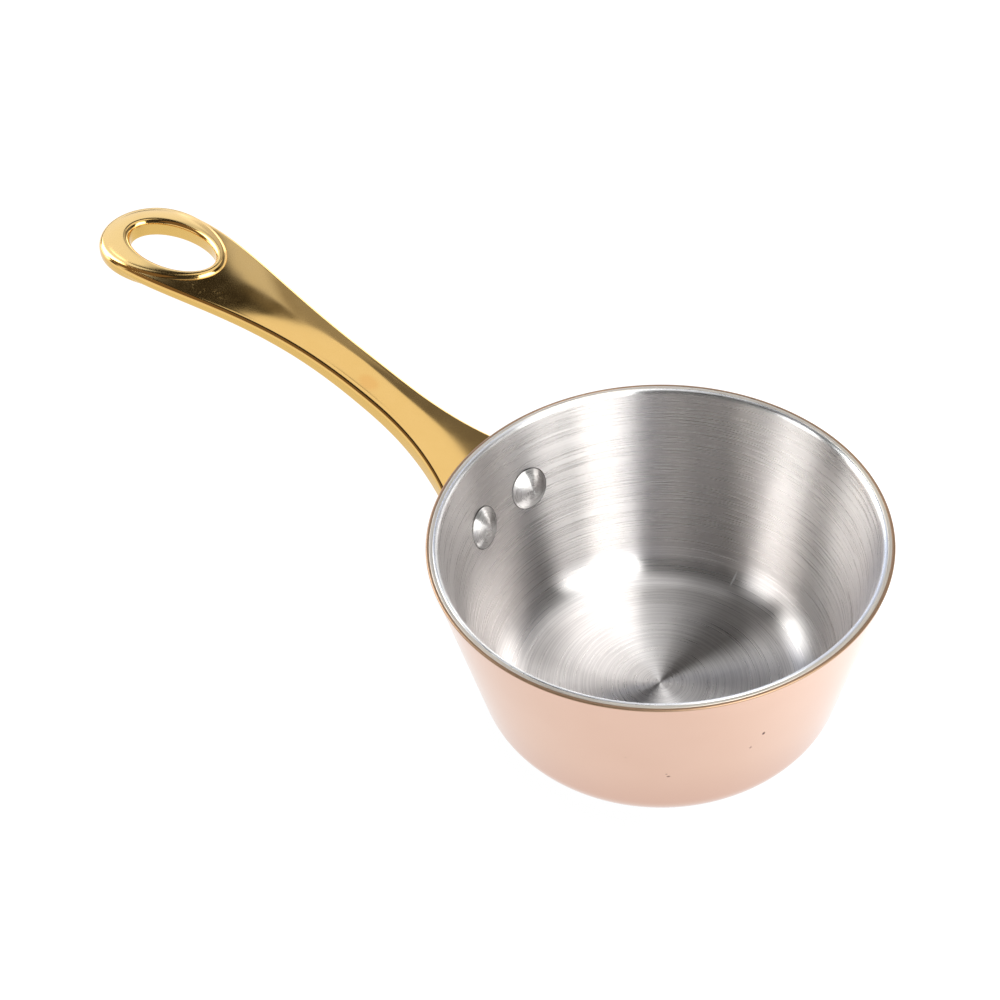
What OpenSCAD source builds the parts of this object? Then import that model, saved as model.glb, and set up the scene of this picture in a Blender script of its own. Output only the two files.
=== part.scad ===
// Small riveted saucepan: a three-layer pan with a cast handle that ends in a ring.
// The pan stands on z = 0 with its axis on Z, and the handle points along +X.
// All lengths are millimetres.

/* [Pan] */
// Outside diameter at the rim
rim_d = 90; // [84:0.5:110]
// Height from the base to the rim
pan_h = 43.2; // [38:0.1:60]
// Outside diameter that the wall would reach at the base without its round corner
foot_d = 68.8; // [64:0.1:76]
// Outside radius of the corner between the base and the wall
corner_r = 10.1; // [6:0.1:14]

/* [Layers] */
// Thickness of the copper outside
copper_t = 0.6; // [0.4:0.05:1.2]
// Thickness of the aluminium core
core_t = 0.7; // [0.4:0.05:1.6]
// Thickness of the steel lining
liner_t = 0.85; // [0.5:0.05:1.2]

/* [Rivets] */
// Distance between the centres of the two rivet heads
rivet_spacing = 14.4; // [12:0.1:16]
// Depth of the rivet heads below the rim
rivet_drop = 14; // [12:0.1:16]
// Diameter of the rivets and of their holes
rivet_d = 4.4; // [3:0.1:5]
// Diameter of the round heads inside the pan
rivet_head_d = 9; // [7:0.1:10]
// Height of the round heads inside the pan
rivet_head_h = 1.6; // [1:0.1:2]
// Diameter of the hammered ends on the handle's flange
rivet_tail_d = 5.8; // [5:0.1:6.4]
// Height of the hammered ends on the handle's flange
rivet_tail_h = 1.1; // [0.8:0.1:1.6]
// Room left between the hammered ends and the handle's stem
rivet_room = 0.3; // [0.2:0.05:0.6]

/* [Handle flange] */
// Width of the flange that lies against the pan
flange_w = 26.4; // [25:0.1:30]
// Height of the flange
flange_h = 12.4; // [11:0.1:13.5]
// Thickness of the flange
flange_t = 2.6; // [1.8:0.1:3.2]
// Radius of the flange's rounded corners
flange_corner_r = 4; // [2:0.1:5]

/* [Handle stem] */
// Distance from the pan's axis to the handle's tip
handle_reach = 147; // [140:0.5:170]
// Height of the stem's top edges beside the ring, above the pan's rim
handle_rise = 11.6; // [6:0.1:18]
// Height of the stem's top edges at the pan's wall, above the rivet heads
root_rise = 5.4; // [5:0.1:6]
// Distance from the pan's axis to the stem's narrowest place
waist_x = 73; // [68:0.5:80]
// Width of the stem at its narrowest place
waist_w = 9.7; // [8:0.1:12]
// Width of the stem where it meets the pan's wall
root_w = 24; // [20:0.1:26]
// Thickness of the stem's edge near the pan
root_edge_t = 5.8; // [4.6:0.1:6]
// Thinning of the stem's edge over the rivets
root_thinning = 2.6; // [2:0.1:3]
// Thickness of the stem's edge at the ring
ring_edge_t = 2.8; // [2.6:0.1:3.2]
// Radius of the stem's top edges
edge_r = 0.8; // [0.4:0.05:1]
// Radius of the stem's edges underneath
under_edge_r = 1.2; // [0.6:0.05:1.4]
// Rise of the stem's rounded top from its edges to its middle, at its narrowest place
crown_h = 0.7; // [0:0.05:1.2]
// Rise of the stem's rounded top from its edges to its middle, beside the ring
ring_crown_h = 0.3; // [0:0.05:0.5]
// Extra depth of the stem's rounded underside at its middle, at its narrowest place
belly_depth = 1.3; // [0.8:0.05:2]
// Extra depth of the stem's rounded underside at its middle, beside the ring
ring_belly_depth = 0.5; // [0.2:0.05:0.8]
// Extra depth of the rib under the stem at the pan's wall
rib_depth = 4.6; // [0:0.1:5.5]
// Width of the rib under the stem
rib_w = 8.4; // [6:0.1:8.8]
// Length of the rib, from the pan's wall along the stem
rib_l = 18; // [12:0.5:24]

/* [Handle ring] */
// Width of the ring's outside
ring_w = 22.5; // [20:0.1:24]
// Distance from the ring's widest place to the handle's tip
ring_end_l = 15.7; // [14:0.1:18]
// Length of the hanging hole
hole_l = 22.8; // [20:0.1:24]
// Width of the hanging hole
hole_w = 12.4; // [10:0.1:13]
// Width of the ring at the handle's tip
tip_w = 6.6; // [5:0.1:8]
// Width of the bead round the hole on its stem side
bead_w = 2.5; // [2.4:0.1:3]
// Height of the ring's top above the stem's edges
ring_rise = 0.7; // [0.4:0.05:1]
// Thickness of the ring round the hole
ring_t = 4.2; // [3.8:0.1:4.6]
// Fall of the ring's rounded top from the hole to the tip's edge
ring_fall = 0.6; // [0.2:0.05:1.4]
// Radius of the ring's edges round the hole
hole_edge_r = 0.9; // [0.4:0.05:1.1]
// Radius of the ring's outside edges
ring_edge_r = 1.2; // [0.8:0.05:1.35]

/* [Hidden] */
$fn = 96;

// Pan
wall_t = copper_t + core_t + liner_t;
rim_r = rim_d / 2;
foot_r = foot_d / 2;
wall_a = atan((rim_r - foot_r) / pan_h);
turn_a = 90 - wall_a;
flat_r = foot_r - corner_r * tan(turn_a / 2);
overrun = 2;

// Rivets
rivet_z = pan_h - rivet_drop;
rivet_r = wall_r(wall_t, rivet_z);
rivet_a = asin(rivet_spacing / 2 / rivet_r);
grip_l = wall_t + flange_t;
shank_share = 0.3;
flange_z = rivet_z - grip_l * sin(wall_a);

// Handle; the stem's end lies inside the ring, end_gap beyond the hole, and sinks in by the end depths
end_gap = 1.1;
end_l = 6.5;
end_top_depth = 1.1;
end_under_depth = 0.9;
end_side_depth = 0.8;
handle_z = pan_h + handle_rise;
handle_fall = handle_z - rivet_z - root_rise;
root_x = wall_r(0, handle_z - handle_fall);
ring_x = handle_reach - ring_end_l;
hole_x = handle_reach - tip_w - hole_l / 2;
stem_start_x = root_x - flange_t - wall_t;
stem_end_x = hole_x + hole_l / 2 + end_gap;
ring_z = handle_z + ring_rise;
seat_grow = bead_w / 2;

// Shapes of the handle's curves, as powers and shares
top_power = 2.1;
edge_power = 1.5;
neck_power = 2.6;
thinning_power = 8;
flare_power = 1.3;
rib_power = 2;
rib_share = 1.5;
end_power = 2.4;
ring_power = 1.2;
tip_arc_a = 30;
bead_arc_a = 165;

// Counts of steps along and round the handle's surfaces
STEM_STEPS = 44;
TOP_STEPS = 8;
CORNER_STEPS = 4;
RING_STEPS = 60;
DOME_STEPS = 4;

// Radius of the pan's wall at height z, measured inset in from its outside
function wall_r(inset, z) = foot_r + z * tan(wall_a) - inset / cos(wall_a);

// Outline of everything inside the pan's outside, shrunk by inset, up to the rim
module cup_outline(inset) {
    round_r = corner_r - inset;
    polygon([
        [0, inset],
        [flat_r, inset],
        [flat_r + round_r * sin(turn_a), corner_r - round_r * cos(turn_a)],
        [wall_r(inset, pan_h), pan_h],
        [0, pan_h]
    ]);
    intersection() {
        translate([flat_r, corner_r]) circle(round_r);
        translate([0, inset]) square([rim_r, corner_r - inset]);
    }
}

// One layer of the pan, between two depths from its outside
module layer(outer_inset, inner_inset) {
    difference() {
        rotate_extrude() difference() {
            cup_outline(outer_inset);
            cup_outline(inner_inset);
        }
        rivet_holes();
    }
}

// Places its children on a rivet's axis, on the lining, with local +Z pointing out of the pan
module at_rivet(side) {
    rotate([0, 0, side * rivet_a])
        translate([rivet_r, 0, rivet_z])
            rotate([0, 90 + wall_a, 0])
                children();
}

module rivet_holes() {
    for (side = [-1, 1])
        at_rivet(side) translate([0, 0, -overrun]) cylinder(h = grip_l + 2 * overrun, d = rivet_d);
}

// Room for the hammered ends, cut out of the stem
module rivet_pockets() {
    for (side = [-1, 1])
        at_rivet(side) translate([0, 0, grip_l])
            cylinder(h = rivet_tail_h + rivet_room, d = rivet_tail_d + 2 * rivet_room);
}

// Ball that stands out of z = 0 as a round cap of diameter d and height h
module cap(d, h) {
    cap_r = (d * d / 4 + h * h) / (2 * h);
    translate([0, 0, h - cap_r]) sphere(cap_r);
}

// Solid rivet: round head on the lining, shank through the wall and flange, hammered end
module rivet(side) {
    intersection() {
        at_rivet(side) mirror([0, 0, 1]) cap(rivet_head_d, rivet_head_h);
        rotate_extrude() cup_outline(wall_t);
    }
    at_rivet(side) translate([0, 0, -shank_share * rivet_head_h])
        cylinder(h = grip_l + shank_share * (rivet_head_h + rivet_tail_h), d = rivet_d);
    difference() {
        at_rivet(side) translate([0, 0, grip_l]) cap(rivet_tail_d, rivet_tail_h);
        rotate_extrude() cup_outline(-flange_t);
    }
}

// Surface of the handle

function smooth(s) = s * s * (3 - 2 * s);
function limited(s) = min(1, max(0, s));
function mixed(a, b, s) = a + (b - a) * s;

// Share of the way back from the ring's widest place to the pan's wall
function back_share(x) = max(0, (ring_x - x) / (ring_x - root_x));
// Share of the way back from the waist to the pan's wall
function neck_share(x) = max(0, (waist_x - x) / (waist_x - root_x));
// Share of the way out from the waist to the ring's widest place
function flare_share(x) = limited((x - waist_x) / (ring_x - waist_x));
// Share of the way through the stem's end inside the ring, squared
function end_share(x) = pow(limited((x - stem_end_x + end_l) / end_l), 2);

function half_width(x) =
    x > ring_x ? ring_w / 2 * pow(1 - pow((x - ring_x) / ring_end_l, end_power), 1 / end_power)
        - end_side_depth * end_share(x)
    : (waist_w + (root_w - waist_w) * pow(neck_share(x), neck_power)
        + (ring_w - waist_w) * smooth(pow(flare_share(x), flare_power))) / 2;
function top_z(x) = handle_z - handle_fall * pow(back_share(x), top_power) - end_top_depth * end_share(x);
function edge_t(x) = mixed(ring_edge_t, root_edge_t, pow(back_share(x), edge_power))
    - root_thinning * pow(min(1, neck_share(x)), thinning_power) - end_under_depth * end_share(x);
function crown(x) = mixed(crown_h, ring_crown_h, smooth(flare_share(x)));
function belly(x) = mixed(belly_depth, ring_belly_depth, smooth(flare_share(x)));
function rib(x) = rib_depth * pow(limited((root_x + rib_l - x) / rib_l), rib_power);

// Depth of the underside below the edge's bottom, y across the stem of half-width w
function under_depth(x, y, w) = belly(x) * (1 - pow(y / w, 2))
    + rib(x) * smooth(limited(rib_share - abs(y) / rib_w * 2));

// Quarter of a circle of radius r about (y, z) that turns from angle a to a - 90
function corner(x, y, z, r, a) =
    [for (i = [0 : CORNER_STEPS]) let (b = a - 90 * i / CORNER_STEPS) [x, y + r * cos(b), z + r * sin(b)]];

// Stem's cross-section at x, a closed loop: over the top to +y, down the side and back under
function stem_section(x) =
    let (
        w = half_width(x),
        z = top_z(x),
        t = edge_t(x),
        top_w = w - edge_r,
        under_w = w - under_edge_r
    )
    concat(
        [for (i = [1 : TOP_STEPS - 1]) let (v = 2 * i / TOP_STEPS - 1)
            [x, v * top_w, z + crown(x) * (1 - v * v)]],
        corner(x, top_w, z - edge_r, edge_r, 90),
        corner(x, under_w, z - t + under_edge_r, under_edge_r, 0),
        [for (i = [1 : TOP_STEPS - 1]) let (v = 1 - 2 * i / TOP_STEPS)
            [x, v * under_w, z - t - under_depth(x, v * under_w, under_w)]],
        corner(x, -under_w, z - t + under_edge_r, under_edge_r, 270),
        corner(x, -top_w, z - edge_r, edge_r, 180)
    );

// Width of the ring at angle a round the hole, where 0 is the tip
function ring_width(a) =
    let (turn = a > 180 ? 360 - a : a)
    mixed(bead_w, tip_w, smooth(pow(limited((bead_arc_a - turn) / (bead_arc_a - tip_arc_a)), ring_power)));

// Point n outside the hole's wall at angle a, at height z
function ring_point(a, n, z) =
    let (
        nx = cos(a) * hole_w,
        ny = sin(a) * hole_l,
        size = norm([nx, ny])
    )
    [
        hole_x + hole_l / 2 * cos(a) + n * nx / size,
        hole_w / 2 * sin(a) + n * ny / size,
        z
    ];

// Quarter turn of the ring's section, radius r about (n, z), from angle b to b - 90
function ring_corner(a, n, z, r, b) =
    [for (i = [0 : CORNER_STEPS]) let (c = b - 90 * i / CORNER_STEPS)
        ring_point(a, n + r * cos(c), z + r * sin(c))];

// Ring's cross-section at angle a, a closed loop: up the hole's wall, outwards and back under
function ring_section(a) =
    let (
        w = ring_width(a),
        low = ring_z - ring_t,
        fall = ring_fall * (w - bead_w) / (tip_w - bead_w),
        inner_n = hole_edge_r,
        outer_n = w - ring_edge_r,
        outer_top = ring_z - fall
    )
    concat(
        ring_corner(a, inner_n, ring_z - hole_edge_r, hole_edge_r, 180),
        [for (i = [1 : DOME_STEPS - 1]) let (v = i / DOME_STEPS)
            ring_point(a, inner_n + v * (outer_n - inner_n), ring_z - fall * v * v)],
        ring_corner(a, outer_n, outer_top - ring_edge_r, ring_edge_r, 90),
        ring_corner(a, outer_n, low + ring_edge_r, ring_edge_r, 0),
        ring_corner(a, inner_n, low + hole_edge_r, hole_edge_r, 270)
    );

// Triangles between section i and section j of a row of loops with n points each
function band(i, j, n) =
    [for (k = [0 : n - 1], half = [0, 1]) let (m = (k + 1) % n)
        half == 0 ? [i * n + k, j * n + k, j * n + m] : [i * n + k, j * n + m, i * n + m]];

// Solid swept through a row of loops, with flat ends
module sweep(loops) {
    n = len(loops[0]);
    last = len(loops) - 1;
    bands = [for (i = [0 : last - 1]) each band(i, i + 1, n)];
    start = [for (k = [1 : n - 2]) [0, k, k + 1]];
    end = [for (k = [1 : n - 2]) [last * n, last * n + k + 1, last * n + k]];
    polyhedron([for (loop = loops) each loop], concat(bands, start, end));
}

// Solid swept through a closed row of loops
module closed_sweep(loops) {
    n = len(loops[0]);
    count = len(loops);
    bands = [for (i = [0 : count - 1]) each band(i, (i + 1) % count, n)];
    polyhedron([for (loop = loops) each loop], bands);
}

module stem() {
    length = stem_end_x - stem_start_x;
    sweep([for (i = [0 : STEM_STEPS]) stem_section(stem_end_x - length * i / STEM_STEPS)]);
}

module ring() {
    closed_sweep([for (i = [0 : RING_STEPS - 1]) ring_section(360 * i / RING_STEPS)]);
}

// Room in the stem for the hole, reaching to the middle of the ring's bead
module ring_seat() {
    translate([0, 0, ring_z - ring_t - overrun]) linear_extrude(ring_t + 2 * overrun)
        polygon([for (i = [0 : RING_STEPS - 1])
            let (p = ring_point(360 * i / RING_STEPS, seat_grow, 0)) [p[0], p[1]]]);
}

// Curved plate that lies on the pan's wall
module flange() {
    inner_w = flange_w - 2 * flange_corner_r;
    inner_h = flange_h - 2 * flange_corner_r;
    intersection() {
        rotate_extrude() difference() {
            cup_outline(-flange_t);
            cup_outline(0);
        }
        translate([0, 0, flange_z]) rotate([90, 0, 90]) linear_extrude(rim_r + flange_t) {
            square([inner_w, flange_h], center = true);
            square([flange_w, inner_h], center = true);
            for (y = [-1, 1], z = [-1, 1])
                translate([y * inner_w / 2, z * inner_h / 2]) circle(flange_corner_r);
        }
    }
}

module copper_shell() {
    color([0.85, 0.6, 0.5]) layer(0, copper_t);
}

module aluminium_core() {
    color([0.75, 0.74, 0.7]) layer(copper_t, copper_t + core_t);
}

module steel_liner() {
    color([0.72, 0.72, 0.74]) layer(copper_t + core_t, wall_t);
}

module handle() {
    color([0.88, 0.72, 0.38]) difference() {
        union() {
            difference() {
                stem();
                ring_seat();
                rotate_extrude() cup_outline(0);
                rivet_pockets();
            }
            ring();
            flange();
        }
        rivet_holes();
    }
}

module rivet_left() {
    color([0.8, 0.8, 0.82]) rivet(1);
}

module rivet_right() {
    color([0.8, 0.8, 0.82]) rivet(-1);
}

copper_shell();
aluminium_core();
steel_liner();
handle();
rivet_left();
rivet_right();
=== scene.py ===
"""Looks of the small riveted saucepan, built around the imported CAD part. Sizes are in millimetres."""

import math

import bpy
import numpy as np
from mathutils import Matrix, Vector
from mathutils.bvhtree import BVHTree


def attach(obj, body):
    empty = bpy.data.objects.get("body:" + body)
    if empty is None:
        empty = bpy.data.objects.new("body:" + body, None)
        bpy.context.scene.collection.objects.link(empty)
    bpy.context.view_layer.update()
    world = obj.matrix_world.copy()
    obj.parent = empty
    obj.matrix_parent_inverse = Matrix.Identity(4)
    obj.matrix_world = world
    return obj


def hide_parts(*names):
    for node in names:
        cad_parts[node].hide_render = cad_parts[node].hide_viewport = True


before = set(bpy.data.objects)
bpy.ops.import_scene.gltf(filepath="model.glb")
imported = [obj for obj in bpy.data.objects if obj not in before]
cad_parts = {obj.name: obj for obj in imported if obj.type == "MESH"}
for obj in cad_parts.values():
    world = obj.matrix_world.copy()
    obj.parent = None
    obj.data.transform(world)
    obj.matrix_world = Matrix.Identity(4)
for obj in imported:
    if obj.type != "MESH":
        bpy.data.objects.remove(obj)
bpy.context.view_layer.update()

# One millimetre in metres
MM = 0.001

# Pan, as in the part's source
RIM_R, FOOT_R, PAN_H, CORNER_R = 45.0, 34.4, 43.2, 10.1
COPPER_T, CORE_T, LINER_T = 0.6, 0.7, 0.85
WALL_T = COPPER_T + CORE_T + LINER_T
WALL_A = math.atan((RIM_R - FOOT_R) / PAN_H)
TURN_A = math.pi / 2 - WALL_A
FLAT_R = FOOT_R - CORNER_R * math.tan(TURN_A / 2)

# Rounding of the layers' edges at the rim: outside, between the layers and inside
RIM_ROUND, EDGE_ROUND, LIP_ROUND = 0.3, 0.1, 0.65

# Rivets
RIVET_SPACING, RIVET_DROP, RIVET_D = 14.4, 14.0, 4.4
HEAD_D, HEAD_H, TAIL_D, TAIL_H = 9.0, 1.6, 5.8, 1.1
FLANGE_W, FLANGE_H, FLANGE_T, FLANGE_CORNER_R = 26.4, 12.4, 2.6, 4.0
RIVET_Z = PAN_H - RIVET_DROP
GRIP_L = WALL_T + FLANGE_T
FLANGE_Z = RIVET_Z - GRIP_L * math.sin(WALL_A)

# Handle
HANDLE_REACH, HANDLE_Z, HANDLE_FALL = 147.0, 54.8, 20.2
WAIST_X, WAIST_W, ROOT_W, RING_W, RING_END_L = 73.0, 9.7, 24.0, 22.5, 15.7
ROOT_EDGE_T, ROOT_THINNING, RING_EDGE_T = 5.8, 2.6, 2.8
EDGE_R, UNDER_EDGE_R = 0.8, 1.2
CROWN_H, RING_CROWN_H, BELLY_DEPTH, RING_BELLY_DEPTH = 0.7, 0.3, 1.3, 0.5
RIB_DEPTH, RIB_W, RIB_L = 4.6, 8.4, 18.0
HOLE_L, HOLE_W, TIP_W, BEAD_W = 22.8, 12.4, 6.6, 2.5
RING_RISE, RING_T, RING_FALL, HOLE_EDGE_R, RING_EDGE_R = 0.7, 4.2, 0.6, 0.9, 1.2
END_GAP, END_L, END_TOP_DEPTH, END_UNDER_DEPTH, END_SIDE_DEPTH = 1.1, 6.5, 1.1, 0.9, 0.8
TOP_POWER, EDGE_POWER, NECK_POWER, THINNING_POWER = 2.1, 1.5, 2.6, 8
FLARE_POWER, RIB_POWER, RIB_SHARE, END_POWER, RING_POWER = 1.3, 2, 1.5, 2.4, 1.2
TIP_ARC_A, BEAD_ARC_A = 30.0, 165.0


def wall_r(inset, z):
    """Radius of the pan's wall at height z, inset in from its outside."""
    return FOOT_R + z * math.tan(WALL_A) - inset / math.cos(WALL_A)


ROOT_X = wall_r(0, HANDLE_Z - HANDLE_FALL)
RING_X = HANDLE_REACH - RING_END_L
HOLE_X = HANDLE_REACH - TIP_W - HOLE_L / 2
STEM_START_X = ROOT_X - FLANGE_T - WALL_T
STEM_END_X = HOLE_X + HOLE_L / 2 + END_GAP
RING_Z = HANDLE_Z + RING_RISE

# Rounding of the handle's upper edges, polished softer than the part's plain edges
SOFT_EDGE_R, SOFT_HOLE_R, SOFT_BEAD_R, SOFT_TIP_R = 1.2, 1.1, 1.3, 1.6

# Rounding of the flange's outer edge
FLANGE_EDGE_R = 0.7

# How far the tools that cut the stem reach past it
SEAT_OVERRUN, CUP_OVERRUN = 2, 20

# Steps of the fine meshes
ROUND_STEPS, FLOOR_STEPS, CORNER_STEPS, WALL_STEPS, LIP_STEPS = 288, 11, 20, 22, 6
STEM_STEPS, TOP_STEPS, EDGE_STEPS = 260, 36, 8
RING_STEPS, DOME_STEPS = 288, 14
PLATE_CORNER_STEPS, PLATE_LONG_STEPS, PLATE_SHORT_STEPS = 10, 24, 8
RIVET_STEPS, CAP_STEPS, HEAD_EDGE_STEPS = 96, 20, 6


# Meshes

def row_faces(rows, columns, closed_rows=False):
    """Quads between rows of points; each row is a closed loop of columns points."""
    count = rows if closed_rows else rows - 1
    i, k = np.meshgrid(np.arange(count), np.arange(columns), indexing="ij")
    j, m = (i + 1) % rows, (k + 1) % columns
    corners = [i * columns + k, j * columns + k, j * columns + m, i * columns + m]
    return np.stack(corners, -1).reshape(-1, 4).tolist()


def new_object(name, points, faces):
    """Object with a closed smooth mesh, its faces turned outwards."""
    points = np.asarray(points, float).reshape(-1, 3) * MM
    volume = sum(np.linalg.det(points[[f[0], f[k], f[k + 1]]]) for f in faces for k in range(1, len(f) - 1))
    mesh = bpy.data.meshes.new(name)
    mesh.from_pydata(points.tolist(), [], faces)
    if volume < 0:
        mesh.flip_normals()
    mesh.polygons.foreach_set("use_smooth", [True] * len(mesh.polygons))
    made = bpy.data.objects.new(name, mesh)
    bpy.context.scene.collection.objects.link(made)
    return made


def turned(name, outline, steps=ROUND_STEPS):
    """Closed solid turned round Z from (radius, height) points; the first and last lie on the axis."""
    radius, height = np.array(outline, float).T
    angle = np.arange(steps) * 2 * math.pi / steps
    middle = slice(1, len(outline) - 1)
    rings = np.stack([
        np.outer(radius[middle], np.cos(angle)),
        np.outer(radius[middle], np.sin(angle)),
        np.outer(height[middle], np.ones(steps)),
    ], -1)
    rows = len(outline) - 2
    points = [*rings.reshape(-1, 3), (0, 0, height[0]), (0, 0, height[-1])]
    faces = row_faces(rows, steps)
    first, last = rows * steps, rows * steps + 1
    faces += [[first, k, (k + 1) % steps] for k in range(steps)]
    start = (rows - 1) * steps
    faces += [[last, start + (k + 1) % steps, start + k] for k in range(steps)]
    return new_object(name, points, faces)


def swept(name, rows, closed=False):
    """Closed solid through rows of loops, with flat ends or joined end to end."""
    rows = np.asarray(rows, float)
    count, columns = rows.shape[:2]
    faces = row_faces(count, columns, closed)
    if not closed:
        faces += [list(range(columns)), list(range((count - 1) * columns, count * columns))[::-1]]
    return new_object(name, rows, faces)


def arc(centre_x, centre_y, radius, start_a, turn, steps):
    """Points of an arc in a plane, start_a and turn in degrees."""
    a = np.radians(start_a + turn * np.arange(steps + 1) / steps)
    return np.stack([centre_x + radius * np.cos(a), centre_y + radius * np.sin(a)], -1)


# Pan

# Height of the wall's last row, kept low so that the rounded edge doesn't bend its shading
LAST_ROW = 0.06


def cup_line(inset, top):
    """Points (radius, height) from the axis along one surface of the pan up to height top."""
    flat = [(FLAT_R * s, inset) for s in np.linspace(0, 1, FLOOR_STEPS + 1)[:-1]]
    corner = arc(FLAT_R, CORNER_R, CORNER_R - inset, -90, math.degrees(TURN_A), CORNER_STEPS)
    low = corner[-1][1]
    heights = [*np.linspace(low, top - LAST_ROW, WALL_STEPS + 1)[1:], top]
    wall = [(wall_r(inset, z), z) for z in heights]
    return np.array([*flat, *corner, *wall])


def layer_outline(outer, inner, outer_round, inner_round):
    """Outline of one layer: up its outside, over its rounded edge at the rim and down its inside."""
    up = cup_line(outer, PAN_H - outer_round)
    down = cup_line(inner, PAN_H - inner_round)[::-1]
    slope = math.degrees(WALL_A)
    out_x = wall_r(outer, PAN_H) - outer_round
    in_x = wall_r(inner, PAN_H) + inner_round
    over_out = arc(out_x, PAN_H - outer_round, outer_round, -slope, 90 + slope, LIP_STEPS)[1:]
    over_in = arc(in_x, PAN_H - inner_round, inner_round, 90, 90 - slope, LIP_STEPS)[:-1]
    return np.array([*up, *over_out, *over_in, *down])


# Shape of the handle

def smooth(s):
    return s * s * (3 - 2 * s)


def limited(s):
    return np.clip(s, 0, 1)


def mixed(a, b, s):
    return a + (b - a) * s


def back_share(x):
    """Share of the way back from the ring's widest place to the pan's wall."""
    return np.maximum(0, (RING_X - x) / (RING_X - ROOT_X))


def neck_share(x):
    """Share of the way back from the waist to the pan's wall."""
    return np.maximum(0, (WAIST_X - x) / (WAIST_X - ROOT_X))


def flare_share(x):
    """Share of the way out from the waist to the ring's widest place."""
    return limited((x - WAIST_X) / (RING_X - WAIST_X))


def end_share(x):
    """Share of the way through the stem's end inside the ring, squared."""
    return limited((x - STEM_END_X + END_L) / END_L) ** 2


def half_width(x):
    beyond = limited((x - RING_X) / RING_END_L)
    tip = RING_W / 2 * (1 - beyond**END_POWER) ** (1 / END_POWER) - END_SIDE_DEPTH * end_share(x)
    stem = (WAIST_W + (ROOT_W - WAIST_W) * neck_share(x) ** NECK_POWER
            + (RING_W - WAIST_W) * smooth(flare_share(x) ** FLARE_POWER)) / 2
    return np.where(x > RING_X, tip, stem)


def top_z(x):
    return HANDLE_Z - HANDLE_FALL * back_share(x) ** TOP_POWER - END_TOP_DEPTH * end_share(x)


def edge_t(x):
    return (mixed(RING_EDGE_T, ROOT_EDGE_T, back_share(x) ** EDGE_POWER)
            - ROOT_THINNING * np.minimum(1, neck_share(x)) ** THINNING_POWER - END_UNDER_DEPTH * end_share(x))


def under_depth(x, y, w):
    """Extra depth of the underside at y, where it is w wide to each side: its belly and the rib."""
    belly = mixed(BELLY_DEPTH, RING_BELLY_DEPTH, smooth(flare_share(x)))
    rib = RIB_DEPTH * limited((ROOT_X + RIB_L - x) / RIB_L) ** RIB_POWER
    return belly * (1 - (y / w) ** 2) + rib * smooth(limited(RIB_SHARE - np.abs(y) / RIB_W * 2))


def stem_section(x):
    """Loop of the stem's section at x: over the top to +y, down the side and back under."""
    w, z, t = float(half_width(x)), float(top_z(x)), float(edge_t(x))
    edge_r = float(mixed(SOFT_EDGE_R, EDGE_R, end_share(x)))
    top_w, under_w = w - edge_r, w - UNDER_EDGE_R
    crown = mixed(CROWN_H, RING_CROWN_H, smooth(flare_share(x)))
    v = np.linspace(-1, 1, TOP_STEPS + 1)[1:-1]
    top = np.stack([v * top_w, z + crown * (1 - v * v)], -1)
    u = -v * under_w
    under = np.stack([u, z - t - under_depth(x, u, under_w)], -1)
    loop = np.concatenate([
        top,
        arc(top_w, z - edge_r, edge_r, 90, -90, EDGE_STEPS),
        arc(under_w, z - t + UNDER_EDGE_R, UNDER_EDGE_R, 0, -90, EDGE_STEPS),
        under,
        arc(-under_w, z - t + UNDER_EDGE_R, UNDER_EDGE_R, 270, -90, EDGE_STEPS),
        arc(-top_w, z - edge_r, edge_r, 180, -90, EDGE_STEPS),
    ])
    return np.column_stack([np.full(len(loop), x), loop])


def ring_point(a, n, z):
    """Point n outside the hole's wall at angle a, at height z."""
    nx, ny = math.cos(a) * HOLE_W, math.sin(a) * HOLE_L
    size = math.hypot(nx, ny)
    return np.stack([
        HOLE_X + HOLE_L / 2 * math.cos(a) + n * nx / size,
        HOLE_W / 2 * math.sin(a) + n * ny / size,
        z + 0 * n,
    ], -1)


def ring_section(a):
    """Loop of the ring's section at angle a: up the hole's wall, outwards and back under."""
    turn = abs(math.degrees(math.atan2(math.sin(a), math.cos(a))))
    share = smooth(limited((BEAD_ARC_A - turn) / (BEAD_ARC_A - TIP_ARC_A)) ** RING_POWER)
    w, low = mixed(BEAD_W, TIP_W, share), RING_Z - RING_T
    fall = RING_FALL * (w - BEAD_W) / (TIP_W - BEAD_W)
    edge_r = mixed(SOFT_BEAD_R, SOFT_TIP_R, share)
    top_in, top_out = SOFT_HOLE_R, w - edge_r
    low_in, low_out = HOLE_EDGE_R, w - RING_EDGE_R
    v = np.linspace(0, 1, DOME_STEPS + 1)[1:-1]
    loop = np.concatenate([
        arc(top_in, RING_Z - SOFT_HOLE_R, SOFT_HOLE_R, 180, -90, EDGE_STEPS),
        np.stack([top_in + v * (top_out - top_in), RING_Z - fall * v * v], -1),
        arc(top_out, RING_Z - fall - edge_r, edge_r, 90, -90, EDGE_STEPS),
        arc(low_out, low + RING_EDGE_R, RING_EDGE_R, 0, -90, EDGE_STEPS),
        np.stack([low_out + v * (low_in - low_out), low + 0 * v], -1),
        arc(low_in, low + HOLE_EDGE_R, HOLE_EDGE_R, 270, -90, EDGE_STEPS),
    ])
    return ring_point(a, loop[:, 0], loop[:, 1])


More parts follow.
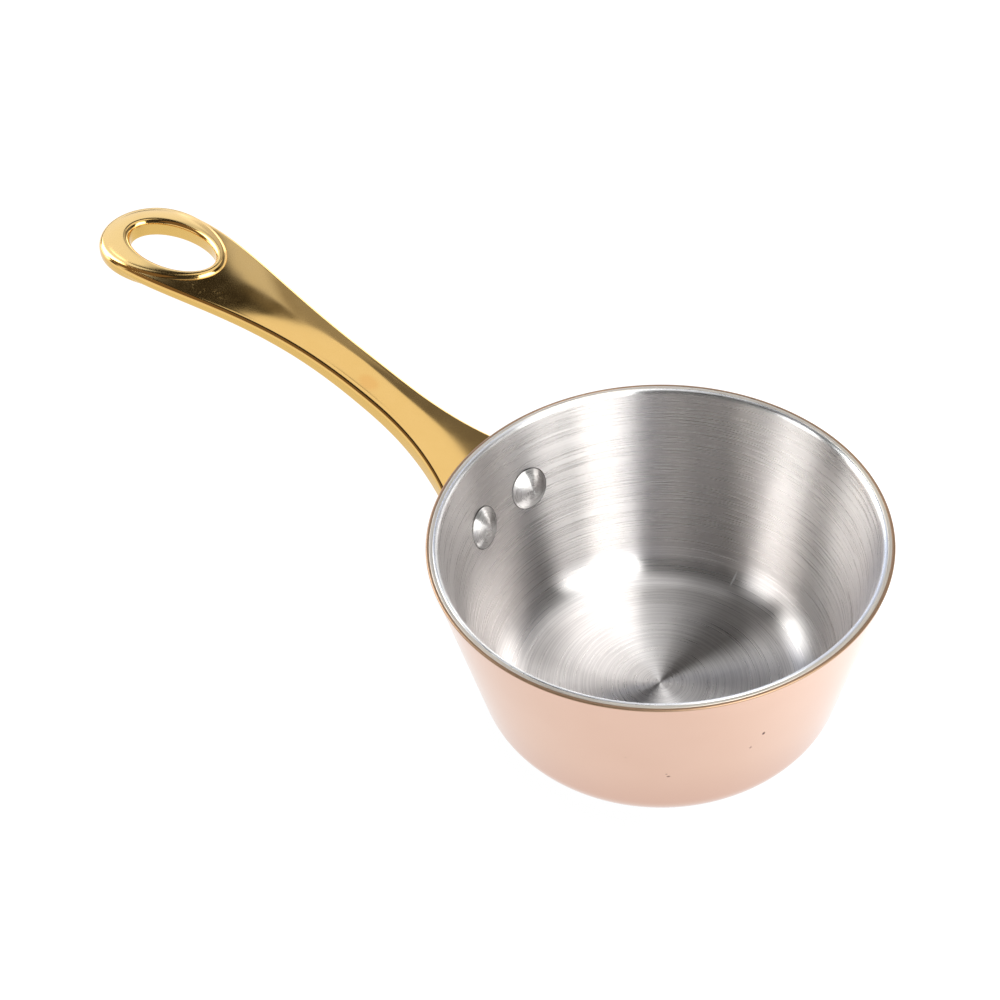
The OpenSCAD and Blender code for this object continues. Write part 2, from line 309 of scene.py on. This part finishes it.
def plate_outline(inset):
    """Outline (y, z) of the flange's rounded rectangle, drawn in by inset."""
    r, steps = FLANGE_CORNER_R - inset, PLATE_CORNER_STEPS
    y, z = FLANGE_W / 2 - FLANGE_CORNER_R, FLANGE_H / 2 - FLANGE_CORNER_R
    along_y = np.linspace(1, -1, PLATE_LONG_STEPS + 1)[1:-1, None] * [[y, 0]]
    along_z = np.linspace(1, -1, PLATE_SHORT_STEPS + 1)[1:-1, None] * [[0, z]]
    return np.concatenate([
        arc(y, z, r, 0, 90, steps), along_y + [0, z + r],
        arc(-y, z, r, 90, 90, steps), along_z - [y + r, 0],
        arc(-y, -z, r, 180, 90, steps), -along_y - [0, z + r],
        arc(y, -z, r, 270, 90, steps), -along_z + [y + r, 0],
    ])


def plate_row(outline, depth):
    """The outline laid on the pan's wall, depth out from the copper."""
    y, z = outline[:, 0], outline[:, 1] + FLANGE_Z
    r = FOOT_R + z * math.tan(WALL_A) + depth / math.cos(WALL_A)
    return np.stack([np.sqrt(r * r - y * y), y, z], -1)


def flange_piece():
    """Flange as rows from the middle of its back, over its rounded edge, to the middle of its front."""
    shares = (0.02, 0.25, 0.5, 0.75, 0.92)
    rows = [plate_row(plate_outline(0) * s, 0) for s in (*shares, 1)]
    rounding = arc(0, FLANGE_T - FLANGE_EDGE_R, FLANGE_EDGE_R, 0, 90, EDGE_STEPS)
    rows += [plate_row(plate_outline(FLANGE_EDGE_R - x), t) for x, t in rounding]
    rows += [plate_row(plate_outline(FLANGE_EDGE_R) * s, FLANGE_T) for s in shares[::-1]]
    return swept("flange_part", rows)


def cut_or_join(target, tool, operation):
    """Adds one boolean step to the target."""
    step = target.modifiers.new(operation, "BOOLEAN")
    step.operation, step.solver, step.object = operation, "MANIFOLD", tool


def applied(target):
    """The object's mesh with its modifiers applied."""
    graph = bpy.context.evaluated_depsgraph_get()
    mesh = bpy.data.meshes.new_from_object(target.evaluated_get(graph))
    target.modifiers.clear()
    return mesh


def smooth_from(mesh, sources):
    """Gives the joined mesh the normals of the surfaces it was made from, so that creases stay crisp."""
    far, steep = 0.01 * MM, 0.5
    known = []
    for source in sources:
        data = source.data
        data.calc_loop_triangles()
        points = [v.co.copy() for v in data.vertices]
        triangles = [tuple(t.vertices) for t in data.loop_triangles]
        normals = [v.normal.copy() for v in data.vertices]
        known.append((BVHTree.FromPolygons(points, triangles), points, triangles, normals))
    found = [None] * len(mesh.loops)
    for face in mesh.polygons:
        near = [(tree.find_nearest(face.center), i) for i, (tree, *_) in enumerate(known)]
        (_, normal, _, distance), i = min(near, key=lambda n: n[0][3])
        tree, points, triangles, normals = known[i]
        for k in face.loop_indices:
            if distance > far or abs(normal.dot(face.normal)) < steep:
                found[k] = face.normal.copy()
                continue
            at = mesh.vertices[mesh.loops[k].vertex_index].co
            place, _, index, _ = tree.find_nearest(at)
            a, b, c = triangles[index]
            pa, pb, pc = points[a], points[b], points[c]
            whole = (pb - pa).cross(pc - pa)
            size = whole.dot(whole) or 1
            wa = (pb - place).cross(pc - place).dot(whole) / size
            wb = (pc - place).cross(pa - place).dot(whole) / size
            mean = normals[a] * wa + normals[b] * wb + normals[c] * (1 - wa - wb)
            found[k] = mean.normalized() if mean.dot(face.normal) > 0 else face.normal.copy()
    mesh.normals_split_custom_set(found)


def handle_piece():
    """Handle as one casting: its stem, ring and flange joined, and cut clear of the hole and the pan."""
    x = np.linspace(STEM_END_X, STEM_START_X, STEM_STEPS + 1)
    stem = swept("stem_part", [stem_section(v) for v in x])
    angles = np.arange(RING_STEPS) * 2 * math.pi / RING_STEPS
    ring = swept("ring_part", [ring_section(a) for a in angles], closed=True)
    flange = flange_piece()
    low, high = RING_Z - RING_T - SEAT_OVERRUN, RING_Z + SEAT_OVERRUN
    seat = swept("seat_tool", [[ring_point(a, np.array(BEAD_W / 2), z) for a in angles] for z in (low, high)])
    cup_top = PAN_H + CUP_OVERRUN
    cup = turned("cup_tool", [(0, 0), *cup_line(0, cup_top)[1:], (0, cup_top)])
    cut_or_join(stem, seat, "DIFFERENCE")
    cut_or_join(stem, cup, "DIFFERENCE")
    cut_or_join(stem, ring, "UNION")
    cut_or_join(stem, flange, "UNION")
    mesh = applied(stem)
    mesh.materials.clear()
    smooth_from(mesh, [stem, ring, flange])
    made = bpy.data.objects.new("handle_casting", mesh)
    bpy.context.scene.collection.objects.link(made)
    for part in (stem, ring, flange, seat, cup):
        bpy.data.objects.remove(part)
    return made


# Shape of the rivets

def rivet_place(side):
    """Place of a rivet: its origin on the lining and its Z axis outwards through the wall."""
    r = wall_r(WALL_T, RIVET_Z)
    a = math.asin(RIVET_SPACING / 2 / r)
    turn = Matrix.Rotation(side * a, 4, "Z")
    return turn @ Matrix.Translation((r, 0, RIVET_Z)) @ Matrix.Rotation(math.pi / 2 + WALL_A, 4, "Y")


def cap_line(d, h):
    """Points (radius, height) of a round cap from its edge to its top."""
    r = (d * d / 4 + h * h) / (2 * h)
    a = math.degrees(math.asin(d / 2 / r))
    return arc(0, h - r, r, 90 - a, a, CAP_STEPS)


def rivet_piece(name, side):
    """Rivet with a domed head whose rounded edge stands just off the lining, and a hammered tail."""
    sunk, edge_r, neck_z = 0.25, 0.14, 0.02
    neck_r, shank_r, tail_r = HEAD_D / 2 - 0.22, RIVET_D / 2, TAIL_D / 2 - 0.05
    head = cap_line(HEAD_D - edge_r, HEAD_H - edge_r) * [1, -1] - [0, edge_r]
    edge = arc(HEAD_D / 2 - edge_r, -edge_r, edge_r, -60, 150, HEAD_EDGE_STEPS)
    tail = cap_line(TAIL_D, TAIL_H) + [0, GRIP_L]
    outline = [
        *head[:0:-1], *edge, (neck_r, neck_z), (neck_r, sunk), (shank_r, sunk),
        (shank_r, GRIP_L - sunk), (tail_r, GRIP_L - sunk), *tail,
    ]
    outline[0], outline[-1] = (0, -HEAD_H), (0, GRIP_L + TAIL_H)
    rivet = turned(name, outline, RIVET_STEPS)
    place = rivet_place(side)
    place.translation *= MM
    rivet.matrix_world = place
    return rivet


# Camera

VIEW_A, VIEW_UP, VIEW_ROLL = math.radians(131.6), math.radians(43.12), math.radians(-3.55)
TARGET, DISTANCE, LENS = Vector((22.513, 19.987, 55.485)), 495.45, 94.41

back = Vector((math.cos(VIEW_A) * math.cos(VIEW_UP), math.sin(VIEW_A) * math.cos(VIEW_UP), math.sin(VIEW_UP)))
across = Vector((-math.sin(VIEW_A), math.cos(VIEW_A), 0))
upward = back.cross(across)
turned_across = across * math.cos(VIEW_ROLL) + upward * math.sin(VIEW_ROLL)
turned_up = upward * math.cos(VIEW_ROLL) - across * math.sin(VIEW_ROLL)
camera_data = bpy.data.cameras.new("camera")
camera = bpy.data.objects.new("camera", camera_data)
bpy.context.scene.collection.objects.link(camera)
bpy.context.scene.camera = camera
camera_data.lens, camera_data.sensor_width = LENS, 36.0
camera_data.clip_start, camera_data.clip_end = 0.01, 20.0
camera.matrix_world = Matrix.Translation((TARGET + back * DISTANCE) * MM) @ Matrix(
    (turned_across, turned_up, back)).transposed().to_4x4()


# Finishes

class Value:
    """A socket that gives a number; arithmetic on it adds Math nodes."""

    def __init__(self, nodes, socket):
        self.nodes, self.socket = nodes, socket

    def math(self, operation, *others):
        return self.nodes.node("ShaderNodeMath", {"operation": operation}, dict(enumerate((self, *others))))

    def __add__(self, other):
        return self.math("ADD", other)

    def __sub__(self, other):
        return self.math("SUBTRACT", other)

    def __mul__(self, other):
        return self.math("MULTIPLY", other)

    def __truediv__(self, other):
        return self.math("DIVIDE", other)

    def __pow__(self, other):
        return self.math("POWER", other)

    def __neg__(self):
        return self.math("MULTIPLY", -1)

    def __radd__(self, other):
        return self + other

    def __rsub__(self, other):
        return -self + other

    def __rmul__(self, other):
        return self * other

    def __rtruediv__(self, other):
        return self ** -1 * other


# Places of the colour sockets in the Mix node
COLOUR_A, COLOUR_B, COLOUR_OUT = 6, 7, 2


class Nodes:
    """A node tree that is filled by plain expressions."""

    def __init__(self, tree):
        self.tree = tree

    def feed(self, socket, value):
        """Links a value to the socket, or sets the socket to a number or a colour."""
        if isinstance(value, Value):
            self.tree.links.new(value.socket, socket)
        elif socket.type == "RGBA":
            socket.default_value = (*value[:3], 1)
        else:
            socket.default_value = value

    def node(self, kind, settings=None, inputs=None, output=0):
        """New node of a kind; its settings are set first, then its inputs are fed."""
        made = self.tree.nodes.new(kind)
        for name, value in (settings or {}).items():
            setattr(made, name, value)
        for name, value in (inputs or {}).items():
            self.feed(made.inputs[name], value)
        return Value(self, made.outputs[output])

    def vector_math(self, operation, vectors, output="Vector"):
        inputs = dict(enumerate(vectors))
        return self.node("ShaderNodeVectorMath", {"operation": operation}, inputs, output)

    def smooth_step(self, value, low, high):
        inputs = {"Value": value, "From Min": low, "From Max": high}
        return self.node("ShaderNodeMapRange", {"interpolation_type": "SMOOTHSTEP"}, inputs)

    def ramp(self, value, low, high, start, end):
        """Number that goes straight from start to end as value goes from low to high."""
        inputs = {"Value": value, "From Min": low, "From Max": high, "To Min": start, "To Max": end}
        return self.node("ShaderNodeMapRange", {}, inputs)

    def blend(self, share, first, second, way="MIX"):
        """Colour between two colours."""
        settings = {"data_type": "RGBA", "blend_type": way}
        return self.node("ShaderNodeMix", settings, {0: share, COLOUR_A: first, COLOUR_B: second}, COLOUR_OUT)


# Heights, in metres, between which the pan's floor goes over into its wall
FLOOR_TOP, WALL_LOW = 0.004, 0.012


class Finish(Nodes):
    """Material of one finish, with the piece's own coordinates in metres at hand."""

    def __init__(self, name):
        self.material = bpy.data.materials.new(name)
        self.material.use_nodes = True
        super().__init__(self.material.node_tree)
        self.shader = self.material.node_tree.nodes["Principled BSDF"]
        place = self.node("ShaderNodeTexCoord", output="Object")
        self.place = place
        self.x, self.y, self.z = (self.node("ShaderNodeSeparateXYZ", {}, {0: place}, axis) for axis in "XYZ")

    def set(self, **sockets):
        for name, value in sockets.items():
            self.feed(self.shader.inputs[name.replace("_", " ")], value)

    def vector(self, x, y, z):
        return self.node("ShaderNodeCombineXYZ", {}, {0: x, 1: y, 2: z})

    def spot(self, middle, size):
        """Share that is 1 at the middle and 0 beyond the size, both in millimetres."""
        middle = Vector(middle) * MM
        shrink = [1 / (length * MM) for length in size]
        away = self.vector_math("SUBTRACT", (self.place, middle))
        away = self.vector_math("MULTIPLY", (away, shrink))
        reach = self.vector_math("LENGTH", (away,), "Value")
        return self.smooth_step(reach, 1.0, 0.4)

    def noise(self, place, scale, detail):
        return self.node("ShaderNodeTexNoise", {}, {"Vector": place, "Scale": scale, "Detail": detail})

    def emboss(self, height, depth):
        """Normal of the surface raised by height, from 0 to 1, times depth in metres."""
        return self.node("ShaderNodeBump", {}, {"Height": height, "Distance": depth, "Strength": 1.0})

    def strokes(self, width, length, lean=0.0):
        """Noise drawn out round the axis; width is in metres, length in radians, lean is on the wall."""
        radius = (self.x * self.x + self.y * self.y) ** 0.5
        along = radius + self.z
        if lean:
            on_wall = self.ramp(self.z, FLOOR_TOP, WALL_LOW, 0.0, lean)
            along = along + self.x * on_wall
        along = along / width
        reach = 1 / length
        round_x, round_y = self.x / radius * reach, self.y / radius * reach
        return self.noise(self.vector(round_x, round_y, along), 1.0, 1.0)


def brushed_steel():
    """Stainless lining brushed round and round, on the wall with grooves that cross at small angles."""
    steel = Finish("brushed_steel")
    fine = steel.strokes(0.00022, 1.2)
    crossing = steel.strokes(0.0003, 0.8, 0.05)
    leaning = steel.strokes(0.0004, 0.9, -0.06)
    depth = steel.ramp(steel.z, FLOOR_TOP, WALL_LOW, 0.5, 1.0)
    grooves = ((fine + crossing + leaning) / 3 - 0.5) * depth + 0.5
    marks = steel.smooth_step(steel.strokes(0.0003, 0.9, 0.09), 0.66, 0.78)
    on_wall = steel.smooth_step(steel.z, FLOOR_TOP, WALL_LOW)
    wall = steel.blend(steel.smooth_step(grooves, 0.35, 0.65), (0.67, 0.645, 0.635), (0.75, 0.725, 0.71))
    turns = steel.smooth_step(steel.strokes(0.0002, 2.2), 0.38, 0.62)
    floor = steel.blend(turns, (0.63, 0.61, 0.605), (0.75, 0.73, 0.72))
    # Painted highlight: the rounded lip at the top is painted near white.
    lip_highlight = steel.smooth_step(steel.z, (PAN_H - LIP_ROUND) * MM, (PAN_H - LIP_ROUND / 2) * MM)
    brushed = steel.blend(on_wall, floor, wall)
    scratch = steel.spot(*SCRATCH)
    scratched = steel.blend(scratch, brushed, (1.0, 1.0, 1.0))
    steel.set(
        Base_Color=steel.blend(lip_highlight, scratched, (0.93, 0.93, 0.93)),
        Metallic=1.0,
        Roughness=steel.ramp(grooves, 0.3, 0.7, 0.22, 0.36) - marks * on_wall * 0.06 + scratch * 0.3,
        Anisotropic=1.0,
        Anisotropic_Rotation=0.25,
        Normal=steel.emboss(fine * depth * depth, 0.000003),
    )
    return steel.material


# Radii, in metres, where the painted shade in the seam at a rivet head's edge starts and is full
SEAM_SHADE_START_R, SEAM_SHADE_R = (HEAD_D / 2 - 0.26) * MM, (HEAD_D / 2 - 0.1) * MM


def turned_rivet():
    """Rivet steel faced off round its own axis, with painted shade darkening the crevice at the head's edge.
    """
    steel = Finish("turned_rivet")
    grooves = steel.strokes(0.0002, 0.8)
    turned_steel = steel.blend(grooves, (0.62, 0.61, 0.60), (0.78, 0.77, 0.76))
    # Painted shade: the crevice at the head's edge is painted near black, where shade falls.
    seam_shade = steel.smooth_step((steel.x * steel.x + steel.y * steel.y) ** 0.5, SEAM_SHADE_START_R, SEAM_SHADE_R)
    steel.set(
        Base_Color=steel.blend(seam_shade, turned_steel, (0.1, 0.095, 0.09)),
        Metallic=1.0,
        Roughness=steel.ramp(grooves, 0.3, 0.7, 0.24, 0.36),
        Anisotropic=0.9,
        Anisotropic_Rotation=0.25,
        Normal=steel.emboss(grooves, 0.00001),
    )
    return steel.material


# Scratch in the lining's corner, smudge and fine pits in the brass: middle and size
SCRATCH = (4.15, -31.3, 4.3), (0.3, 2.2, 2.2)
SMUDGE = (72.5, 1.8, 46.8), (3.2, 2.2, 2.0)
PITS = (114.0, 6.0, 54.2), (8.0, 3.5, 3.0)

# Small marks in the copper: middle, size and strength
COPPER_MARKS = (
    ((-37.2, 17.7, 27.6), (0.42, 0.42, 0.7), 1.0),
    ((-35.4, 19.2, 23.8), (0.35, 0.35, 0.6), 0.5),
    ((-24.5, 30.2, 18.1), (0.55, 0.4, 0.4), 0.7),
    ((-24.3, 30.6, 19.0), (0.3, 0.3, 0.4), 0.3),
    ((-18.8, 35.9, 24.8), (0.3, 0.3, 0.3), 0.2),
    ((-30.2, 26.3, 21.5), (0.25, 0.25, 0.3), 0.2),
)

# Heights, in metres, where the painted shade on the copper's foot ends and where the painted shade on its
# edge at the rim starts and is full
FOOT_SHADE_TOP, RIM_SHADE_START_Z, RIM_SHADE_FULL_Z = 0.022, (PAN_H - 0.5) * MM, (PAN_H - 0.25) * MM


def polished_copper():
    """Copper outside, polished, with fine polishing lines, a few marks, painted shade that darkens it towards
    the bottom and painted shade that browns its edge at the rim.
    """
    copper = Finish("polished_copper")
    cloudy = copper.noise(copper.place, 60.0, 3.0)
    lines = copper.strokes(0.00025, 1.2)
    polished = copper.blend(cloudy, (0.72, 0.475, 0.365), (0.77, 0.525, 0.415))
    specks = 0
    for middle, size, strength in COPPER_MARKS:
        specks = copper.spot(middle, size) * strength + specks
    # Painted shade: the copper is painted darker towards the bottom.
    foot_shade = copper.smooth_step(copper.z, FOOT_SHADE_TOP, 0.0)
    # Painted shade: the edge at the rim is painted dark brown for the dark reflection in its rounding; it is
    # also rougher.
    rim = copper.smooth_step(copper.z, RIM_SHADE_START_Z, RIM_SHADE_FULL_Z)
    foot_shaded = copper.blend(foot_shade, polished, (0.66, 0.42, 0.33))
    marked = copper.blend(specks, foot_shaded, (0.12, 0.05, 0.03))
    copper.set(
        Base_Color=copper.blend(rim, marked, (0.42, 0.27, 0.17)),
        Metallic=1.0,
        Roughness=copper.ramp(lines, 0.3, 0.7, 0.1, 0.17) + rim * 0.25,
        Normal=copper.emboss(lines, 0.000002),
    )
    return copper.material


def core_metal():
    """Aluminium core, seen as a pale warm band in the rim."""
    core = Finish("core_metal")
    lines = core.strokes(0.00015, 0.3)
    core.set(
        Base_Color=core.blend(lines, (0.78, 0.70, 0.58), (0.86, 0.80, 0.70)),
        Metallic=1.0,
        Roughness=core.ramp(lines, 0.3, 0.7, 0.3, 0.45),
        Normal=core.emboss(lines, 0.00001),
    )
    return core.material


def polished_brass():
    """Cast handle, polished by hand, so that its surface waves a little; its sides are left rougher and
    painted darker as painted shade.
    """
    brass = Finish("polished_brass")
    waves = brass.noise(brass.place, 110.0, 1.0)
    cloudy = brass.noise(brass.place, 240.0, 3.0)
    pits = brass.smooth_step(brass.noise(brass.place, 1400.0, 1.0), 0.6, 0.72) * brass.spot(*PITS)
    polished = brass.blend(cloudy, (0.82, 0.525, 0.175), (0.88, 0.58, 0.215))
    smudged = brass.blend(brass.spot(*SMUDGE) * 0.4, polished, (0.8, 0.4, 0.12))
    facing = brass.node("ShaderNodeNewGeometry", output="Normal")
    upwards = brass.node("ShaderNodeSeparateXYZ", {}, {0: facing}, "Z")
    # Painted shade: faces that turn away from up are painted darker; they are also rougher.
    side = brass.smooth_step(upwards, 0.45, 0.1)
    brass.set(
        Base_Color=brass.blend(side, smudged, (0.66, 0.43, 0.13)),
        Metallic=1.0,
        Roughness=brass.ramp(cloudy, 0.3, 0.7, 0.09, 0.14) + pits * 0.1 + side * 0.1,
        Normal=brass.emboss(waves, 0.000008),
    )
    return brass.material


# Pieces

handle = handle_piece()
shell = turned("copper_outside", layer_outline(0, COPPER_T, RIM_ROUND, EDGE_ROUND))
core = turned("core_band", layer_outline(COPPER_T, COPPER_T + CORE_T, EDGE_ROUND, EDGE_ROUND))
lining = turned("steel_lining", layer_outline(COPPER_T + CORE_T, WALL_T, EDGE_ROUND, LIP_ROUND))
rivets = [rivet_piece("rivet_at_left", 1), rivet_piece("rivet_at_right", -1)]
rivet_steel = turned_rivet()

for piece, node, slot, finish in (
    (shell, "copper_shell", "copper", polished_copper()),
    (core, "aluminium_core", "core", core_metal()),
    (lining, "steel_liner", "lining", brushed_steel()),
    (handle, "handle", "handle", polished_brass()),
    (rivets[0], "rivet_left", "rivet", rivet_steel),
    (rivets[1], "rivet_right", "rivet", rivet_steel),
):
    piece.data.materials.append(finish)
    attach(piece, "root")
    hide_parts(node)


# Studio

def toward(azimuth, elevation):
    """Unit direction from the pan, both angles in degrees."""
    a, e = math.radians(azimuth), math.radians(elevation)
    return Vector((math.cos(a) * math.cos(e), math.sin(a) * math.cos(e), math.sin(e)))


def seen_panel(world, corners, soft):
    """Share of each direction that falls on a soft-edged panel; its corners are in order round it."""
    middle = sum(corners, Vector())
    direction = world.node("ShaderNodeTexCoord", output="Generated")
    share = 1
    for first, second in zip(corners, corners[1:] + corners[:1]):
        inwards = first.cross(second).normalized()
        if inwards.dot(middle) < 0:
            inwards.negate()
        depth = world.vector_math("DOT_PRODUCT", (direction, inwards), "Value")
        share = world.smooth_step(depth, -soft, soft) * share
    return share


def panel(*corners):
    """Corners of a panel, each given as azimuth and elevation in degrees."""
    return [toward(a, e) for a, e in corners]


def upright(azimuth_from, azimuth_to, low, high):
    """Corners of a panel that stands round the pan, all in degrees."""
    return panel((azimuth_from, low), (azimuth_to, low), (azimuth_to, high), (azimuth_from, high))


# Panels of the room: corners, softness of the edges and glow
PANELS = (
    # Overhead sheet, its corners in metres on a level 1 m above the pan
    ([Vector(c) for c in ((0.32, -1.3, 1), (0.38, -1.05, 1), (0.38, 0, 1), (-0.2, 0.1, 1), (-0.9, 0.16, 1))],
     0.02, (0.98, 0.98, 0.98)),
    # Dim wall behind the pan, under the sheet's edge
    (panel((240, 8), (283.8, 8), (283.8, 36.8), (240, 57.9)), 0.02, (0.14, 0.14, 0.16)),
    (panel((283.8, 8), (301, 8), (301, 53.7), (283.8, 36.8)), 0.02, (0.31, 0.31, 0.33)),
    (panel((301, 46), (311, 46), (311, 58), (301, 53.7)), 0.03, (0.12, 0.11, 0.1)),
    # Paler wall beside it
    (panel((301, 8), (312, 8), (313, 38), (311, 44), (301, 46)), 0.03, (0.66, 0.7, 0.82)),
    # Pale panel beyond the handle's end, and the bright ones beside it
    (panel((310, 6), (350, 6), (350, 48), (340, 54), (330, 48), (318, 40), (312, 34)),
     0.04, (1.05, 1.16, 1.42)),
    (upright(349, 381, 14, 47), 0.05, (5.5, 5.5, 5.4)),
    (upright(358, 390, -6, 17), 0.05, (3.0, 3.0, 2.95)),
    # Backdrop's foot
    (upright(235, 310, -6, 14), 0.06, (0.9, 0.9, 0.88)),
    (upright(283, 301, -6, 14), 0.05, (1.7, 1.7, 1.65)),
    # Key box on the camera's other side
    (upright(142, 197, 18, 62), 0.04, (5.0, 5.0, 4.95)),
    (upright(136, 212, -6, 18), 0.08, (1.7, 1.7, 1.68)),
    # Pale foot of the room at the sides
    (upright(212, 236, -6, 22), 0.08, (0.7, 0.7, 0.68)),
    (upright(45, 88, -6, 18), 0.08, (0.9, 0.89, 0.86)),
    (upright(88, 135, -6, 18), 0.08, (0.35, 0.34, 0.33)),
)

# Faint light of the room between the panels
ROOM_GLOW = (0.035, 0.032, 0.03)

# Azimuth of the floor's bright side
BRIGHT_SIDE = math.radians(215)


def light_studio():
    """Room that the metals reflect, with soft panels on a dark ground."""
    world = bpy.data.worlds.new("studio")
    bpy.context.scene.world = world
    world.use_nodes = True
    room = Nodes(world.node_tree)
    light = ROOM_GLOW
    for corners, soft, glow in PANELS:
        share = seen_panel(room, corners, soft)
        light = room.blend(share, light, glow, "ADD")
    background = world.node_tree.nodes["Background"]
    room.feed(background.inputs["Color"], light)


def floor_sheet():
    """White sheet that glows a little more away from the pan and towards the bright side."""
    mesh = bpy.data.meshes.new("floor")
    span, level = 3.0, -0.0001
    corners = [(x * span, y * span, level) for x, y in ((-1, -1), (1, -1), (1, 1), (-1, 1))]
    mesh.from_pydata(corners, [], [(0, 1, 2, 3)])
    floor = bpy.data.objects.new("floor", mesh)
    bpy.context.scene.collection.objects.link(floor)
    sheet = Finish("white_sheet")
    away = (sheet.x * sheet.x + sheet.y * sheet.y) ** 0.5
    sideways = sheet.x * math.cos(BRIGHT_SIDE) + sheet.y * math.sin(BRIGHT_SIDE)
    glow = sheet.ramp(away, 0.035, 0.1, 1.0, 1.12) + sheet.smooth_step(sideways, -0.005, 0.1) * 0.5
    sheet.set(
        Base_Color=(0.0, 0.0, 0.0),
        Roughness=1.0,
        Specular_IOR_Level=0.0,
        Emission_Color=sheet.vector(glow, glow, glow),
        Emission_Strength=1.0,
    )
    mesh.materials.append(sheet.material)


# Distance of the boxes that light only some pieces, in metres
BOX_DISTANCE = 1.2

# These boxes: direction as azimuth and elevation, width, height and glow
STEEL_BOXES = (
    ((292, 70), 0.34, 0.42, (1.45, 1.45, 1.45)),
    ((54, 28), 0.38, 0.64, (3.0, 3.0, 3.0)),
    ((272, 20), 1.84, 0.26, (0.85, 0.85, 0.85)),
)
HANDLE_BOXES = (
    ((43, 38), 1.3, 1.0, (0.17, 0.11, 0.06)),
)


def light_only(name, pieces, boxes):
    """Boxes round the pan that light only the given pieces."""
    lit = bpy.data.collections.new(name)
    for piece in pieces:
        lit.objects.link(piece)
    for (azimuth, elevation), width, height, glow in boxes:
        data = bpy.data.lights.new(name, "AREA")
        data.shape, data.size, data.size_y = "RECTANGLE", width, height
        data.color = glow
        data.energy = math.pi * width * height
        box = bpy.data.objects.new(name, data)
        bpy.context.scene.collection.objects.link(box)
        aim = toward(azimuth, elevation)
        facing = aim.to_track_quat("Z", "Y").to_matrix().to_4x4()
        box.matrix_world = Matrix.Translation(aim * BOX_DISTANCE) @ facing
        box.light_linking.receiver_collection = lit


light_studio()
light_only("lit_steel", (lining, *rivets), STEEL_BOXES)
light_only("lit_handle", (handle,), HANDLE_BOXES)
floor_sheet()
bpy.context.scene.view_settings.view_transform = "Standard"
